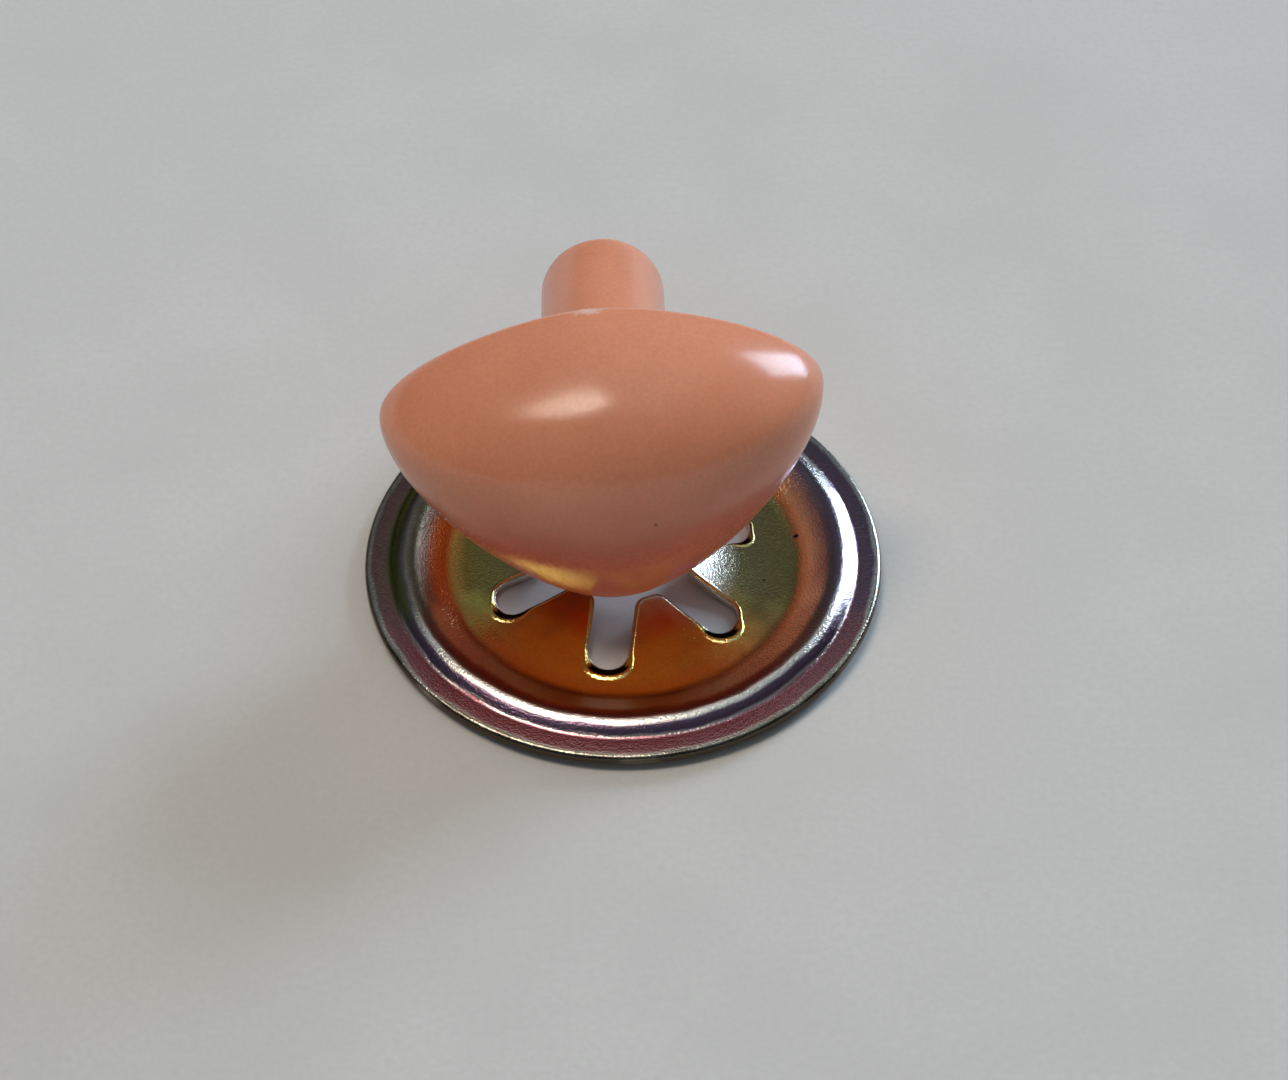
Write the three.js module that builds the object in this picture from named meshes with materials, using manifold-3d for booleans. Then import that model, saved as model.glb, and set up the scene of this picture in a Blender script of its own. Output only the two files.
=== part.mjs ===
// A push-on craft nose and its lock washer, lying loose together before they are fitted.
//
// The nose is one moulding: a rounded-triangle dome with a round post on its flat back.
// The washer is one stamping: a flat flange, a raised ring, a flat land that it lies on, and
// sprung teeth that rise towards the hole, where they bite when the washer is pushed on the post.
//
// Millimetres, +Z up, the front of the nose facing -Y. The origin is at the bottom centre of
// the pair's bounding box, on the surface that the washer lies on.

import * as THREE from 'three';
import Module from 'manifold-3d';
import { mergeVertices } from 'three/addons/utils/BufferGeometryUtils.js';

// ---- nose ----
const NOSE_WIDTH = 21.0;
const NOSE_DEPTH = 7.6; // from the flat back to the foremost point
const NOSE_TOP = 7.4; // the top edge's peak, above the post's axis
const NOSE_SHOULDER = 2.7; // the two rounded corners, above the post's axis
const NOSE_APEX = 1.5; // the foremost point, above the post's axis
const NOSE_TIP = -7.35; // the bottom tip, below the post's axis
const BACK_EDGE = 0.5; // rounding of the edge between the dome and the flat back
const PEAK_FULLNESS = 0.3; // share of the half width over which the top edge stays level
const SHOULDER_FULLNESS = 0.56; // share of the way up to the peak that a corner stays upright
const FLANK_FULLNESS = 0.33; // share of the way down to the tip that a corner stays upright
const TIP_FULLNESS = 0.43; // share of the half width over which the tip stays level

// ---- post, moulded with the nose ----
const POST_DIAMETER = 6.35;
const POST_LENGTH = 15.9; // from the flat back to the post's end
const POST_END_EDGE = 0.6; // rounding of the edge of the post's flat end
const POST_FILLET = 0.5; // radius where the post meets the back
const POST_SINK = 1.0; // how far the post's root runs into the dome it is moulded with

// ---- lock washer ----
const WASHER_DIAMETER = 25.4;
const SHEET = 0.45; // thickness of the steel
const FLANGE_LIFT = 0.5; // gap under the flange when the washer lies on its land
const FLANGE_WIDTH = 1.25; // from the cut rim to the foot of the ring's outer wall
const RING_WALL_RUN = 0.85; // plan width of the ring's outer wall
const RING_RISE = 0.6; // from the flange up to where the wall and the slope would meet
const RING_SLOPE_RUN = 2.0; // plan width of the ring's inner slope
const LAND_WIDTH = 1.6; // flat land between the ring's slope and the roots of the teeth
const TOOTH_RISE = 0.8; // height of the teeth's tips above the land
const TOOTH_BITE = 0.1; // radial bite of the tips into the post when it is pushed in
const TOOTH_COUNT = 6;
const SLOT_WIDTH = 1.95;
const TOOTH_CORNER = 0.5; // rounding of the two corners at each tooth's tip
const FIRST_SLOT = THREE.MathUtils.degToRad(22.6); // turn of the first slot from +X
const ROOT_BEND = 0.5; // how far each bend reaches along the sheet on both of its sides
const LAND_BEND = 0.45;
const CREST_BEND = 0.6;
const FOOT_BEND = 0.2;

// ---- how the loose nose lies on the washer ----
const NOSE_TILT = THREE.MathUtils.degToRad(-16); // the post slopes down behind
const NOSE_ROLL = THREE.MathUtils.degToRad(-4.7); // about the post
const NOSE_YAW = THREE.MathUtils.degToRad(0.8);
const NOSE_SIDE_SHIFT = -0.75; // the post's root from the washer's axis, along X
const NOSE_BACK_SHIFT = 0.87; // the post's root from the washer's axis, along Y
const REST_GAP = 0.3; // least height of the nose above the washer and the surface

// ---- steps of the faceted surfaces ----
const OUTLINE_STEPS = 56;
const DOME_STEPS = 10;
const EDGE_STEPS = 3;
const POST_STEPS = 32;
const POST_RINGS = 20;
const WASHER_STEPS = 60;
const BEND_STEPS = 3;
const SLOT_STEPS = 5;

// ---- sizes that follow from the ones above ----
const postRadius = POST_DIAMETER / 2;
const rimRadius = WASHER_DIAMETER / 2;
const wallFootRadius = rimRadius - FLANGE_WIDTH;
const crestRadius = wallFootRadius - RING_WALL_RUN;
const landOuterRadius = crestRadius - RING_SLOPE_RUN;
const landInnerRadius = landOuterRadius - LAND_WIDTH;
const holeRadius = postRadius - TOOTH_BITE;
const toothPitch = (2 * Math.PI) / TOOTH_COUNT;

const wasm = await Module();
wasm.setup();

// A closed solid for joining and cutting, from a geometry whose seams and poles are merged.
function solidOf(geometry) {
  geometry.deleteAttribute('normal');
  geometry.deleteAttribute('uv');
  const merged = mergeVertices(geometry, 1e-5);
  const corners = merged.index.array;
  const triVerts = [];
  for (let i = 0; i < corners.length; i += 3) {
    const [a, b, c] = corners.subarray(i, i + 3);
    if (a !== b && b !== c && c !== a) {
      triVerts.push(a, b, c);
    }
  }
  const mesh = new wasm.Mesh({
    numProp: 3,
    vertProperties: new Float32Array(merged.attributes.position.array),
    triVerts: new Uint32Array(triVerts),
  });
  return new wasm.Manifold(mesh);
}

function geometryOf(solid) {
  const mesh = solid.getMesh();
  const geometry = new THREE.BufferGeometry();
  geometry.setAttribute('position', new THREE.BufferAttribute(mesh.vertProperties, mesh.numProp));
  geometry.setIndex(new THREE.BufferAttribute(mesh.triVerts, 1));
  geometry.computeVertexNormals();
  return geometry;
}

// A quarter turn of an edge rounding, from one point to another round their common corner.
function roundedEdge(from, corner, to, steps) {
  return new THREE.QuadraticBezierCurve(from, corner, to).getPoints(steps);
}

// The nose seen from the front, with the post's axis at the origin: a low peak on top, two
// rounded corners at the shoulders and long flanks that run in to a rounded tip.
function noseOutline() {
  const half = NOSE_WIDTH / 2;
  const above = NOSE_TOP - NOSE_SHOULDER;
  const below = NOSE_SHOULDER - NOSE_TIP;
  const shoulderTop = NOSE_SHOULDER + above * SHOULDER_FULLNESS;
  const shoulderBottom = NOSE_SHOULDER - below * FLANK_FULLNESS;
  const outline = new THREE.Path();
  outline.moveTo(0, NOSE_TOP);
  outline.bezierCurveTo(half * PEAK_FULLNESS, NOSE_TOP, half, shoulderTop, half, NOSE_SHOULDER);
  outline.bezierCurveTo(half, shoulderBottom, half * TIP_FULLNESS, NOSE_TIP, 0, NOSE_TIP);
  outline.bezierCurveTo(-half * TIP_FULLNESS, NOSE_TIP, -half, shoulderBottom, -half, NOSE_SHOULDER);
  outline.bezierCurveTo(-half, shoulderTop, -half * PEAK_FULLNESS, NOSE_TOP, 0, NOSE_TOP);
  return outline;
}

// The dome is turned on a unit radius, and then each ray is stretched out to the outline.
function domeGeometry() {
  const edgeShare = BACK_EDGE / (NOSE_WIDTH / 2);
  const profile = [];
  for (let i = 0; i < DOME_STEPS; i += 1) {
    const angle = (i / DOME_STEPS) * (Math.PI / 2);
    const depth = BACK_EDGE + (NOSE_DEPTH - BACK_EDGE) * Math.cos(angle);
    profile.push(new THREE.Vector2(Math.sin(angle), -depth));
  }
  const edge = roundedEdge(
    new THREE.Vector2(1, -BACK_EDGE),
    new THREE.Vector2(1, 0),
    new THREE.Vector2(1 - edgeShare, 0),
    EDGE_STEPS,
  );
  profile.push(...edge, new THREE.Vector2(0, 0));
  const dome = new THREE.LatheGeometry(profile, OUTLINE_STEPS);
  const rays = noseOutline().getSpacedPoints(OUTLINE_STEPS);
  const position = dome.attributes.position;
  for (let i = 0; i < position.count; i += 1) {
    const ray = rays[Math.floor(i / profile.length)];
    const reach = profile[i % profile.length].x;
    position.setX(i, ray.x * reach);
    position.setZ(i, NOSE_APEX + (ray.y - NOSE_APEX) * reach);
  }
  return dome;
}

function postGeometry() {
  const root = roundedEdge(
    new THREE.Vector2(postRadius + POST_FILLET, 0),
    new THREE.Vector2(postRadius, 0),
    new THREE.Vector2(postRadius, POST_FILLET),
    EDGE_STEPS,
  );
  const end = roundedEdge(
    new THREE.Vector2(postRadius, POST_LENGTH - POST_END_EDGE),
    new THREE.Vector2(postRadius, POST_LENGTH),
    new THREE.Vector2(postRadius - POST_END_EDGE, POST_LENGTH),
    EDGE_STEPS,
  );
  const profile = [new THREE.Vector2(0, -POST_SINK), new THREE.Vector2(postRadius + POST_FILLET, -POST_SINK)];
  profile.push(...root);
  const straight = POST_LENGTH - POST_END_EDGE - POST_FILLET;
  for (let i = 1; i < POST_RINGS; i += 1) {
    profile.push(new THREE.Vector2(postRadius, POST_FILLET + (straight * i) / POST_RINGS));
  }
  profile.push(...end, new THREE.Vector2(0, POST_LENGTH));
  return new THREE.LatheGeometry(profile, POST_STEPS);
}

function noseGeometry() {
  return geometryOf(solidOf(domeGeometry()).add(solidOf(postGeometry())));
}

// The middle of the washer's sheet from hole to rim, as radius and height, bends rounded.
function sheetMiddle() {
  const landHeight = SHEET / 2;
  const flangeHeight = FLANGE_LIFT + SHEET / 2;
  const toothSlope = TOOTH_RISE / (landInnerRadius - holeRadius);
  const innerEnd = holeRadius - SHEET; // inside the hole, so that the punch trims the tips
  const corners = [
    new THREE.Vector2(innerEnd, landHeight + toothSlope * (landInnerRadius - innerEnd)),
    new THREE.Vector2(landInnerRadius, landHeight),
    new THREE.Vector2(landOuterRadius, landHeight),
    new THREE.Vector2(crestRadius, flangeHeight + RING_RISE),
    new THREE.Vector2(wallFootRadius, flangeHeight),
    new THREE.Vector2(rimRadius, flangeHeight),
  ];
  const bends = [ROOT_BEND, LAND_BEND, CREST_BEND, FOOT_BEND];
  const middle = [corners[0]];
  bends.forEach((reach, i) => {
    const corner = corners[i + 1];
    const before = corners[i].clone().sub(corner).setLength(reach).add(corner);
    const after = corners[i + 2].clone().sub(corner).setLength(reach).add(corner);
    middle.push(...roundedEdge(before, corner, after, BEND_STEPS));
  });
  middle.push(corners.at(-1));
  return middle;
}

// One face of the sheet: the middle line moved square to itself by the given distance.
function sheetFace(middle, distance) {
  return middle.map((point, i) => {
    const before = middle[Math.max(i - 1, 0)];
    const after = middle[Math.min(i + 1, middle.length - 1)];
    const along = after.clone().sub(before).normalize();
    return new THREE.Vector2(point.x - along.y * distance, point.y + along.x * distance);
  });
}

// The punched opening: a round hole with one round-ended slot between each pair of teeth.
function starShape() {
  const half = SLOT_WIDTH / 2;
  const endCentre = landInnerRadius - half;
  const mouth = Math.sqrt(holeRadius ** 2 - half ** 2);
  const mouthAngle = Math.asin(half / holeRadius);
  const cornerAngle = Math.min(TOOTH_CORNER / holeRadius, (toothPitch / 2 - mouthAngle) * 0.9);
  const star = new THREE.Shape();
  const at = (turn, along, across) => new THREE.Vector2(along, across).rotateAround(new THREE.Vector2(), turn);
  const start = at(FIRST_SLOT, mouth + TOOTH_CORNER, -half);
  star.moveTo(start.x, start.y);
  for (let i = 0; i < TOOTH_COUNT; i += 1) {
    const turn = FIRST_SLOT + i * toothPitch;
    const centre = at(turn, endCentre, 0);
    star.absarc(centre.x, centre.y, half, turn - Math.PI / 2, turn + Math.PI / 2, false);
    const leave = at(turn, mouth + TOOTH_CORNER, half);
    const corner = at(turn, mouth, half);
    const tipStart = at(turn + mouthAngle + cornerAngle, holeRadius, 0);
    star.lineTo(leave.x, leave.y);
    star.quadraticCurveTo(corner.x, corner.y, tipStart.x, tipStart.y);
    const next = turn + toothPitch;
    star.absarc(0, 0, holeRadius, turn + mouthAngle + cornerAngle, next - mouthAngle - cornerAngle, false);
    const nextCorner = at(next, mouth, -half);
    const enter = at(next, mouth + TOOTH_CORNER, -half);
    star.quadraticCurveTo(nextCorner.x, nextCorner.y, enter.x, enter.y);
  }
  return star;
}

function washerGeometry(middle) {
  const under = sheetFace(middle, -SHEET / 2);
  const over = sheetFace(middle, SHEET / 2);
  const profile = [...under, ...over.reverse(), under[0]];
  const sheet = new THREE.LatheGeometry(profile, WASHER_STEPS).rotateX(Math.PI / 2);
  const punchLength = 4 * (FLANGE_LIFT + RING_RISE + TOOTH_RISE + SHEET);
  const punch = new THREE.ExtrudeGeometry(starShape(), {
    depth: punchLength,
    bevelEnabled: false,
    curveSegments: SLOT_STEPS,
  }).translate(0, 0, -punchLength / 2);
  return geometryOf(solidOf(sheet).subtract(solidOf(punch)));
}

// Height of the washer's upper face, or of the surface it lies on, at a distance from its axis.
function heightAt(radius, face) {
  for (let i = 1; i < face.length; i += 1) {
    const [inner, outer] = [face[i - 1], face[i]];
    if (radius >= inner.x && radius <= outer.x) {
      return THREE.MathUtils.mapLinear(radius, inner.x, outer.x, inner.y, outer.y);
    }
  }
  return 0;
}

// The turned nose is lifted until its lowest point clears what lies under it by the rest gap.
// The teeth count as they are before the hole trims them, so the gap holds beside their tips too.
function restNose(nose, middle) {
  nose.rotation.set(NOSE_TILT, NOSE_ROLL, NOSE_YAW, 'ZXY');
  nose.position.set(NOSE_SIDE_SHIFT, NOSE_BACK_SHIFT, 0);
  nose.updateMatrix();
  const face = sheetFace(middle, SHEET / 2);
  const point = new THREE.Vector3();
  const position = nose.geometry.attributes.position;
  let lift = -Infinity;
  for (let i = 0; i < position.count; i += 1) {
    point.fromBufferAttribute(position, i).applyMatrix4(nose.matrix);
    lift = Math.max(lift, heightAt(Math.hypot(point.x, point.y), face) + REST_GAP - point.z);
  }
  nose.position.z = lift;
}

const nosePlastic = new THREE.MeshStandardMaterial({ color: '#e0917c', roughness: 0.35, metalness: 0 });
const platedSteel = new THREE.MeshStandardMaterial({ color: '#9a6a45', roughness: 0.25, metalness: 1 });

const middle = sheetMiddle();
const washer = new THREE.Mesh(washerGeometry(middle), platedSteel);
washer.name = 'lock_washer';
const nose = new THREE.Mesh(noseGeometry(), nosePlastic);
nose.name = 'nose';
restNose(nose, middle);

const pair = new THREE.Group();
pair.add(washer, nose);
const bounds = new THREE.Box3().setFromObject(pair, true);
const centre = bounds.getCenter(new THREE.Vector3());
pair.position.set(-centre.x, -centre.y, -bounds.min.z);

export default pair;
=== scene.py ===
"""A push-on craft nose lying on its stamped steel lock washer, on a sheet of white paper.

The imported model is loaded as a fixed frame, and every piece is placed from it. The washer and the
nose are both grown ring by ring from a circle: each ring of edges is extruded from the one before.
Lengths inside the functions are millimetres in the piece's own frame; the mesh is moved to metres
in the shared frame once, at the end.
"""

from math import asin, atan2, cos, hypot, pi, radians, sin, tau

import bmesh
import bpy
from mathutils import Matrix, Vector


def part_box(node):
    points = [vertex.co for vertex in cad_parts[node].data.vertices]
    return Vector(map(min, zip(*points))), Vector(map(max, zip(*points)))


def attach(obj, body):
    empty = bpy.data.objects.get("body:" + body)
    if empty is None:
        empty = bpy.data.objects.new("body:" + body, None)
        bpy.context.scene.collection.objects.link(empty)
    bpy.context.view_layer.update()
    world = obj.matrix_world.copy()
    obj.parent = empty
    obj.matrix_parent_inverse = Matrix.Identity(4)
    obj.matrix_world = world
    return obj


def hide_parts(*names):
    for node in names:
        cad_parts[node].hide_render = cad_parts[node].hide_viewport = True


bl_info = {
    "name": "Craft Nose and Lock Washer",
    "version": (1, 0, 0),
    "blender": (4, 5, 0),
    "location": "View3D > Sidebar > Craft Nose",
    "description": "Builds a push-on craft nose lying on its stamped lock washer",
    "category": "Add Mesh",
}

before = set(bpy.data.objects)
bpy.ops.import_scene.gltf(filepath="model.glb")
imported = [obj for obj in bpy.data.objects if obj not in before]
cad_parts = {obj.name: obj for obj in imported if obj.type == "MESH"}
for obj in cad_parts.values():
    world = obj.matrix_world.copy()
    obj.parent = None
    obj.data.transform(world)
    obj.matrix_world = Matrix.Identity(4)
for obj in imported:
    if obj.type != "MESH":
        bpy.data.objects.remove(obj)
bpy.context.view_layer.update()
MM = 0.001
WELD = 1e-5  # points of neighbouring rings nearer than this, in millimetres, become one
CREASE = radians(40)  # edges that turn more than this stay crisp
NOISE_SPAN = {"From Min": 0.3, "From Max": 0.7}  # where nearly all of a noise pattern's values lie


# ---- colours, nodes and rings ----


def linear(code):
    """The linear red, green, blue and alpha of an sRGB hex colour."""
    channels = [int(code[i : i + 2], 16) / 255 for i in (1, 3, 5)]
    return (*(c / 12.92 if c <= 0.04045 else ((c + 0.055) / 1.055) ** 2.4 for c in channels), 1.0)


def add(tree, kind, inputs=None, **settings):
    """Adds a node, with its settings and with each input either linked to a socket or given a value."""
    node = tree.nodes.new(kind)
    for name, value in settings.items():
        setattr(node, name, value)
    for key, value in (inputs or {}).items():
        if isinstance(value, bpy.types.NodeSocket):
            tree.links.new(value, node.inputs[key])
        else:
            node.inputs[key].default_value = value
    return node


def set_ramp(ramp_node, stops):
    """Gives a colour ramp its stops, as pairs of place and hex colour."""
    elements = ramp_node.color_ramp.elements
    while len(elements) > 1:
        elements.remove(elements[-1])
    for i, (place, code) in enumerate(stops):
        element = elements[0] if i == 0 else elements.new(place)
        element.position = place
        element.color = linear(code)
    return ramp_node.outputs["Color"]


def new_material(name):
    """An empty node material with its shader and output, and the shader's node tree."""
    material = bpy.data.materials.new(name)
    material.use_nodes = True
    tree = material.node_tree
    tree.nodes.clear()
    shader = add(tree, "ShaderNodeBsdfPrincipled")
    add(tree, "ShaderNodeOutputMaterial", {"Surface": shader.outputs["BSDF"]})
    return material, tree, shader


def grow_rings(stations, spokes, closed):
    """Extrudes a circle's edges from station to station; a station gives the point of each spoke.

    A closed body's last station is its first one again; otherwise both ends are poles."""
    bm = bmesh.new()
    spoke = bm.verts.layers.int.new("spoke")
    ring = bmesh.ops.create_circle(bm, cap_ends=False, segments=spokes, radius=1)["verts"]
    for i, vert in enumerate(ring):
        vert[spoke] = i
        vert.co = stations[0](i)
    edges = bm.edges[:]
    path = stations[1:] + stations[:1] if closed else stations[1:]
    for station in path:
        made = bmesh.ops.extrude_edge_only(bm, edges=edges)["geom"]
        edges = [e for e in made if isinstance(e, bmesh.types.BMEdge) and e.is_boundary]
        for vert in (v for v in made if isinstance(v, bmesh.types.BMVert)):
            vert.co = station(vert[spoke])
    bmesh.ops.remove_doubles(bm, verts=bm.verts[:], dist=WELD)
    bmesh.ops.recalc_face_normals(bm, faces=bm.faces[:])
    return bm


def finish_piece(bm, name, place, material, sharp):
    """Moves the mesh to its place in the frame and makes it an object, smooth but for sharp edges."""
    bmesh.ops.transform(bm, matrix=place, verts=bm.verts[:])
    mesh = bpy.data.meshes.new(name)
    bm.to_mesh(mesh)
    bm.free()
    mesh.shade_smooth()
    mesh.set_sharp_from_angle(angle=sharp)
    mesh.materials.append(material)
    piece = bpy.data.objects.new(name, mesh)
    bpy.context.scene.collection.objects.link(piece)
    return piece


def smooth(share):
    """A share held between 0 and 1, with soft ends."""
    held = min(1.0, max(0.0, share))
    return held * held * (3 - 2 * held)


def quarter(steps):
    """Shares across and down a quarter-round edge, from its flat start to its upright end."""
    return [(sin(k / steps * pi / 2), 1 - cos(k / steps * pi / 2)) for k in range(steps + 1)]


def bend(before, corner, after, steps):
    """Points of a quadratic curve from one point to another round their common corner."""
    points = []
    for k in range(steps + 1):
        t = k / steps
        points.append(before.lerp(corner, t).lerp(corner.lerp(after, t), t))
    return points


def spaced(points, count):
    """The given number of points, evenly spaced along a line of close points."""
    runs = [(b - a).length for a, b in zip(points, points[1:])]
    step = sum(runs) / (count - 1)
    result = [points[0]]
    i, done = 0, 0.0
    for k in range(1, count - 1):
        while done + runs[i] < k * step:
            done += runs[i]
            i += 1
        result.append(points[i].lerp(points[i + 1], (k * step - done) / runs[i]))
    return result + [points[-1]]


# ---- lock washer ----


class WasherSettings(bpy.types.PropertyGroup):
    """Sizes of the lock washer and the colour of its bare plating."""

    sheet: bpy.props.FloatProperty(
        name="Sheet", description="Thickness of the steel", default=0.00045, unit="LENGTH"
    )
    flange_lift: bpy.props.FloatProperty(
        name="Flange lift", description="Gap under the flange", default=0.0005, unit="LENGTH"
    )
    flange_width: bpy.props.FloatProperty(
        name="Flange width", description="Rim to the foot of the ring", default=0.00125, unit="LENGTH"
    )
    wall_run: bpy.props.FloatProperty(
        name="Wall run", description="Plan width of the ring's outer wall", default=0.00085, unit="LENGTH"
    )
    ring_rise: bpy.props.FloatProperty(
        name="Ring rise", description="Height of the ring above the flange", default=0.0006, unit="LENGTH"
    )
    slope_run: bpy.props.FloatProperty(
        name="Slope run", description="Plan width of the ring's inner slope", default=0.002, unit="LENGTH"
    )
    land_width: bpy.props.FloatProperty(
        name="Land width", description="Flat ring that the washer lies on", default=0.0016, unit="LENGTH"
    )
    tooth_rise: bpy.props.FloatProperty(
        name="Tooth rise", description="Height of the tips above the land", default=0.0008, unit="LENGTH"
    )
    hole: bpy.props.FloatProperty(
        name="Hole", description="Radius over the teeth's tips", default=0.003075, unit="LENGTH"
    )
    teeth: bpy.props.IntProperty(name="Teeth", description="Number of teeth", default=6, min=3)
    slot_width: bpy.props.FloatProperty(
        name="Slot width", description="Width between two teeth", default=0.00195, unit="LENGTH"
    )
    tooth_corner: bpy.props.FloatProperty(
        name="Tooth corner", description="Rounding of each tooth's tip", default=0.0005, unit="LENGTH"
    )
    first_slot: bpy.props.FloatProperty(
        name="First slot", description="Turn of the first slot", default=radians(22.6), unit="ROTATION"
    )
    edge_roll: bpy.props.FloatProperty(
        name="Edge roll", description="Rounding of the rim's upper edge", default=0.0002, unit="LENGTH"
    )
    tooth_roll: bpy.props.FloatVectorProperty(
        name="Tooth roll", description="Width and drop of the metal drawn down beside a tooth",
        size=2, default=(0.00024, 0.0001), unit="LENGTH",
    )
    slot_roll: bpy.props.FloatVectorProperty(
        name="Slot roll", description="Width and drop of the metal drawn down at a slot's end",
        size=2, default=(0.00095, 0.00027), unit="LENGTH",
    )
    bare_zinc: bpy.props.FloatVectorProperty(
        name="Bare zinc", description="Colour where the drawn metal meets the cut",
        subtype="COLOR", size=4, min=0.0, max=1.0, default=linear("#f4f2ee"),
    )
    spokes: bpy.props.IntProperty(name="Spokes", description="Steps round the washer", default=384)


# How far each forming bend reaches along the sheet, from the land out to the ring's foot.
BEND_REACHES = (0.45, 0.6, 0.2)
TOOTH_CURL = 1.9  # the teeth steepen towards their tips: power of the share of a tooth's length
TOOTH_STEPS = 16
BEND_STEPS = 7
WEB_MARGIN = 1.25  # from the slots' ends out to where the rings have become round
WEB_STEPS = 20
ROLL_STEPS = 6
SLOT_END_STEPS = 16
TIP_STEPS = 8
SLOT_ROLL_REACH = 1.5  # how far from a slot's end its wider drawn edge starts
SLOT_LIP = 0.3  # how far the drawn metal reaches into the slot's end
# Share across the drawn metal and share of its drop: it swells a little before it turns down.
DRAWN_PROFILE = (
    (0.0, 0.0), (0.06, -0.04), (0.18, -0.2), (0.26, -0.24), (0.36, -0.2), (0.46, -0.06),
    (0.84, 0.42), (0.92, 0.62), (1.0, 1.0),
)
DRAWN_STEPS = 16
# Share of the drawn metal that its own rings cover. Where the metal is drawn under 0.44 mm wide, the
# last ring runs past the start of the cut's rounded edge, and the face folds back by up to 0.03 mm.
DRAWN_REACH = 0.92
# The punch leaned to the front: how far the way from the cut into the metal points along Y where the
# drawn edge starts to widen, and where it is widest.
PUNCH_LEAN = (-0.1, -1.0)
CUT_EDGE = 0.06  # rounding of the cut's own upper edge
SHEAR_SHARE = 0.4  # share of the cut wall that is sheared smooth before the metal tears
TEAR_BACK = 0.03  # how far the torn part of the cut wall leans back


def sheet_middle(s):
    """The middle of the sheet from hole to rim, as radius and height, with its bends rounded."""
    sheet, lift = s.sheet / MM, s.flange_lift / MM
    rim = rim_radius()
    foot = rim - s.flange_width / MM
    crest = foot - s.wall_run / MM
    land_outer = crest - s.slope_run / MM
    land_inner = land_outer - s.land_width / MM
    low, high = sheet / 2, lift + sheet / 2
    reach = land_inner - s.hole / MM + sheet
    tooth = []
    for k in range(TOOTH_STEPS):
        inward = (1 - k / TOOTH_STEPS) * reach
        rise = (s.tooth_rise / MM) * (inward / (reach - sheet)) ** TOOTH_CURL
        tooth.append(Vector((land_inner - inward, low + rise)))
    corners = [
        Vector((land_inner, low)),
        Vector((land_outer, low)),
        Vector((crest, high + s.ring_rise / MM)),
        Vector((foot, high)),
        Vector((rim, high)),
    ]
    middle = tooth + [corners[0]]
    for spread, before, corner, after in zip(BEND_REACHES, corners, corners[1:], corners[2:]):
        start = corner + (before - corner).normalized() * spread
        end = corner + (after - corner).normalized() * spread
        middle += bend(start, corner, end, BEND_STEPS)
    return middle + [corners[-1]], land_inner


def rim_radius():
    """Half the washer's width in the frame."""
    low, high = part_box("lock_washer")
    return (high.x - low.x) / 2 / MM


def sheet_face(middle, distance):
    """One face of the sheet: its middle line moved square to itself."""
    face = []
    for i, point in enumerate(middle):
        along = (middle[min(i + 1, len(middle) - 1)] - middle[max(i - 1, 0)]).normalized()
        face.append(point + Vector((-along.y, along.x)) * distance)
    return face


def height_on(face, radius):
    """Height of a face of the sheet at a distance from the washer's axis."""
    for inner, outer in zip(face, face[1:]):
        if radius <= outer.x:
            return inner.y + (outer.y - inner.y) * (radius - inner.x) / (outer.x - inner.x)
    return face[-1].y


def star_outline(s, land_inner):
    """The punched opening, one point for each spoke: a hole with a round-ended slot between teeth."""
    hole, half, corner = s.hole / MM, s.slot_width / MM / 2, s.tooth_corner / MM
    pitch = tau / s.teeth
    end_centre = land_inner - SLOT_LIP - half
    mouth = (hole**2 - half**2) ** 0.5
    tip_turn = asin(half / hole) + corner / hole
    turns = [k * pi / (2 * SLOT_END_STEPS) for k in range(SLOT_END_STEPS + 1)]
    slot_end = [Vector((end_centre + half * cos(a), half * sin(a))) for a in turns]
    side_end = Vector((mouth + corner, half))
    tip_start = Vector((hole * cos(tip_turn), hole * sin(tip_turn)))
    tip_middle = Vector((hole * cos(pitch / 2), hole * sin(pitch / 2)))
    line = slot_end + bend(side_end, Vector((mouth, half)), tip_start, TIP_STEPS) + [tip_middle]
    half_count = s.spokes // s.teeth // 2
    polar = [(p.length, atan2(p.y, p.x)) for p in spaced(line, half_count + 1)]
    polar += [(radius, pitch - turn) for radius, turn in reversed(polar[1:-1])]
    outline = []
    for k in range(s.teeth):
        for radius, turn in polar:
            angle = s.first_slot + k * pitch + turn
            outline.append(Vector((radius * cos(angle), radius * sin(angle))))
    return outline


def drawn_profile(share):
    """Share of the drop reached at a share of the way across the drawn metal."""
    for (x0, y0), (x1, y1) in zip(DRAWN_PROFILE, DRAWN_PROFILE[1:]):
        if share <= x1:
            return y0 + (y1 - y0) * (share - x0) / (x1 - x0)
    return DRAWN_PROFILE[-1][1]


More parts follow.
